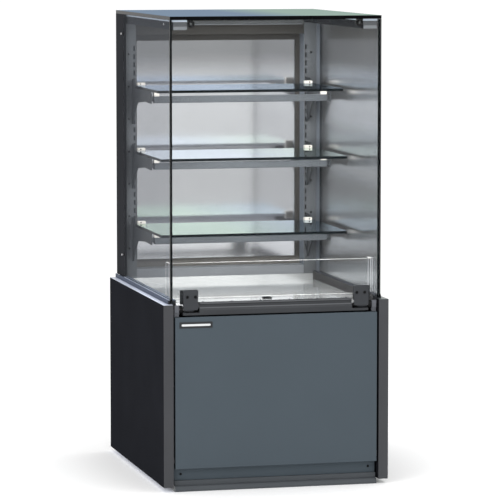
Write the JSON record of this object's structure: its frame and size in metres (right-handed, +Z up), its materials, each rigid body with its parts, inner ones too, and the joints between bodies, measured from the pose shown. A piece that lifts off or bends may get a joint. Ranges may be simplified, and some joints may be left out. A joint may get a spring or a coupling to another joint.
{
  "type": "bakery display case",
  "caption": "Free-standing glazed display case for baked goods: closed storage base, glass chamber with shelves, tilting front glass and hinged doors on the staff side.",
  "frame": {"origin": "centre of the outer box in plan, at floor level", "axes": "+Z up; +X to the right as the customer sees it; the customer's side faces -Y and the doors face +Y"},
  "size_m": [0.675, 0.796, 1.375],
  "materials": {
    "panel_dark": "engineered board, fine matt lacquer, nearly black",
    "trim_grey": "satin powder coat, dark grey",
    "front_blue_grey": "engineered board, satin blue-grey lacquer",
    "badge": "satin",
    "profile_dark": "dark powder coat",
    "profile_grey": "grey powder coat",
    "board_grey": "melamine faced board, grey",
    "feet": "moulded pads on plated stems",
    "screw_black": "blackened",
    "screw_steel": "bright zinc",
    "deck_steel": "brushed stainless",
    "block_grey": "moulded",
    "clear_glass": "clear toughened, polished edges",
    "clear_acrylic": "clear acrylic",
    "tape_white": "foam glazing tape",
    "plastic_black": "moulded, black",
    "plastic_white": "moulded, white",
    "lamp_housing": "anodised",
    "lamp_dark": "anodised, dark",
    "hinge_grey": "satin powder coat",
    "door_steel": "brushed, semi-bright",
    "handle_steel": "brushed",
    "driver": "white casing"
  },
  "bodies": {
    "cabinet": {"badge_plate": "badge", "base_floor": "board_grey", "black_screws": "screw_black", "bottom_rail_left": "profile_dark", "bottom_rail_right": "profile_dark", "carcass_top": "board_grey", "catch_magnets": "plastic_black", "corner_blocks": "block_grey", "deck": "deck_steel", "door_hinge_pins": "screw_steel", "edge_trims": "trim_grey", "front_panel": "front_blue_grey", "front_rail": "profile_dark", "glazing_tape": "tape_white", "header_lamp": "lamp_housing", "header_panel": "profile_grey", "hinge_brackets": "plastic_black", "hinge_pins": "screw_steel", "kick_board": "front_blue_grey", "kick_profile": "profile_dark", "lamp_driver": "driver", "levelling_feet": "feet", "plinth_rail_rear": "panel_dark", "rear_post_left": "profile_grey", "rear_post_right": "profile_grey", "rear_sill": "profile_grey", "riser_guard": "clear_acrylic", "shelf_brackets_bottom": "profile_dark", "shelf_brackets_middle": "profile_dark", "shelf_brackets_top": "profile_dark", "shelf_clips": "plastic_white", "shelf_glass_bottom": "clear_glass", "shelf_glass_middle": "clear_glass", "shelf_glass_top": "clear_glass", "shelf_lamp_bottom": "lamp_dark", "shelf_lamp_middle": "lamp_dark", "shelf_lamp_top": "lamp_dark", "shelf_pegs": "screw_steel", "side_glass_left": "clear_glass", "side_glass_right": "clear_glass", "side_panel_left": "panel_dark", "side_panel_right": "panel_dark", "steel_screws": "screw_steel", "storage_shelf": "board_grey", "top_glass": "clear_glass", "top_rail_left": "profile_grey", "top_rail_right": "profile_grey"},
    "front_glass_body": {"front_glass": "clear_glass", "hinge_plate_left": "hinge_grey", "hinge_plate_right": "hinge_grey", "hinge_leaf_left": "hinge_grey", "hinge_leaf_right": "hinge_grey", "hinge_screws": "screw_steel"},
    "rear_door_body": {"rear_door_frame": "profile_grey", "rear_door_insert": "door_steel", "rear_door_handle": "handle_steel", "rear_door_knuckles": "screw_steel"},
    "base_door_body": {"base_door": "panel_dark", "base_door_handle": "handle_steel", "base_door_knuckles": "screw_steel"}
  },
  "joints": [
    {"name": "front_glass_tilt", "type": "hinge", "parent": "cabinet", "child": "front_glass_body", "pos_m": [0, -0.381, 0.531], "axis": [1, 0, 0], "range_deg": [0, 28]},
    {"name": "rear_door_swing", "type": "hinge", "parent": "cabinet", "child": "rear_door_body", "pos_m": [-0.3025, 0.37, 0.94], "axis": [0, 0, 1], "range_deg": [0, 105]},
    {"name": "base_door_swing", "type": "hinge", "parent": "cabinet", "child": "base_door_body", "pos_m": [-0.3025, 0.37, 0.295], "axis": [0, 0, 1], "range_deg": [0, 105]}
  ]
}
